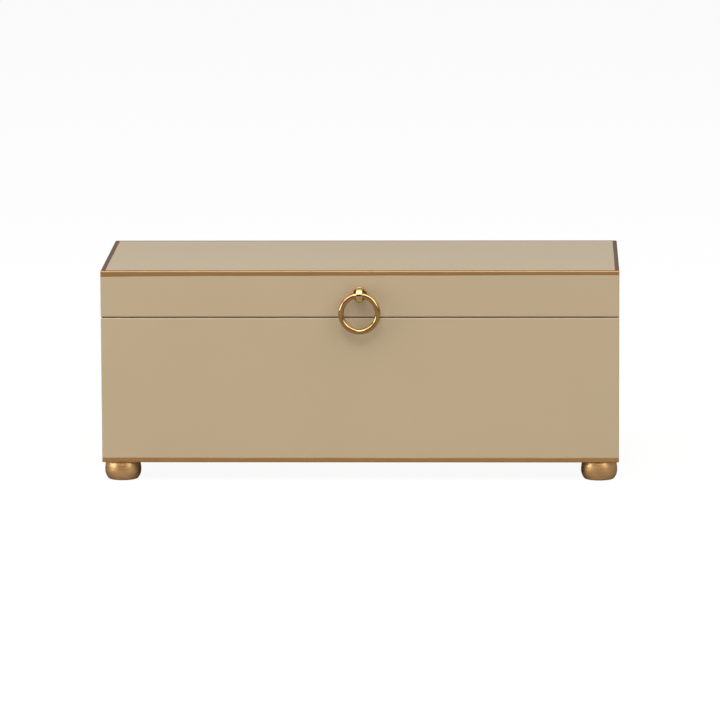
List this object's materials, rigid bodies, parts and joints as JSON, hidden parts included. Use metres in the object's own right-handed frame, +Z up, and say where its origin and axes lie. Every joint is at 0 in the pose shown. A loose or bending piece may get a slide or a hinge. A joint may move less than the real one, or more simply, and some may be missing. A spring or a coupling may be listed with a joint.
{
  "type": "lidded keepsake box",
  "caption": "Rectangular lacquered box on bun feet, with a hinged lid, gold edge lines and a small brass ring pull.",
  "frame": {"origin": "middle of the footprint, from the front of the pull's eye to the tips of the hinges' lugs, on the surface that the feet stand on", "axes": "+Z up, +X to the right of someone facing the front, -Y out of the front, where the pull is"},
  "size_m": [0.35, 0.168, 0.144],
  "materials": {
    "lacquer": "taupe satin lacquer over fibreboard",
    "gilded_wood": "turned wood in brushed bronze-gold metallic paint",
    "felt": "pressed wool felt",
    "polished_brass": "polished and lacquered",
    "hinge_brass": "machined, satin",
    "screw_steel": "zinc plated"
  },
  "bodies": {
    "base": {"base_front": "lacquer", "base_right": "lacquer", "base_back": "lacquer", "base_left": "lacquer", "base_floor": "lacquer", "floor_felt": "felt", "lid_dots": "felt", "foot_front_left": "gilded_wood", "foot_front_right": "gilded_wood", "foot_back_left": "gilded_wood", "foot_back_right": "gilded_wood", "foot_screws": "screw_steel", "hinge_base_leaf_left": "hinge_brass", "hinge_base_leaf_right": "hinge_brass", "hinge_pin_left": "hinge_brass", "hinge_pin_right": "hinge_brass", "hinge_base_screws": "hinge_brass"},
    "lid": {"lid_front": "lacquer", "lid_right": "lacquer", "lid_back": "lacquer", "lid_left": "lacquer", "lid_top": "lacquer", "hinge_lid_leaf_left": "hinge_brass", "hinge_lid_leaf_right": "hinge_brass", "hinge_lid_screws": "hinge_brass", "pull_rosette": "polished_brass", "pull_eye": "polished_brass", "pull_washer": "screw_steel", "pull_nut": "screw_steel"},
    "ring": {"pull_ring": "polished_brass"}
  },
  "joints": [
    {"name": "lid_hinge", "type": "hinge", "parent": "base", "child": "lid", "pos_m": [0, 0.0803, 0.11232], "axis": [-1, 0, 0], "range_deg": [0, 95]},
    {"name": "ring_swing", "type": "hinge", "parent": "lid", "child": "ring", "pos_m": [0, -0.0792, 0.12832], "axis": [-1, 0, 0], "range_deg": [-11.2, 196.7]}
  ]
}
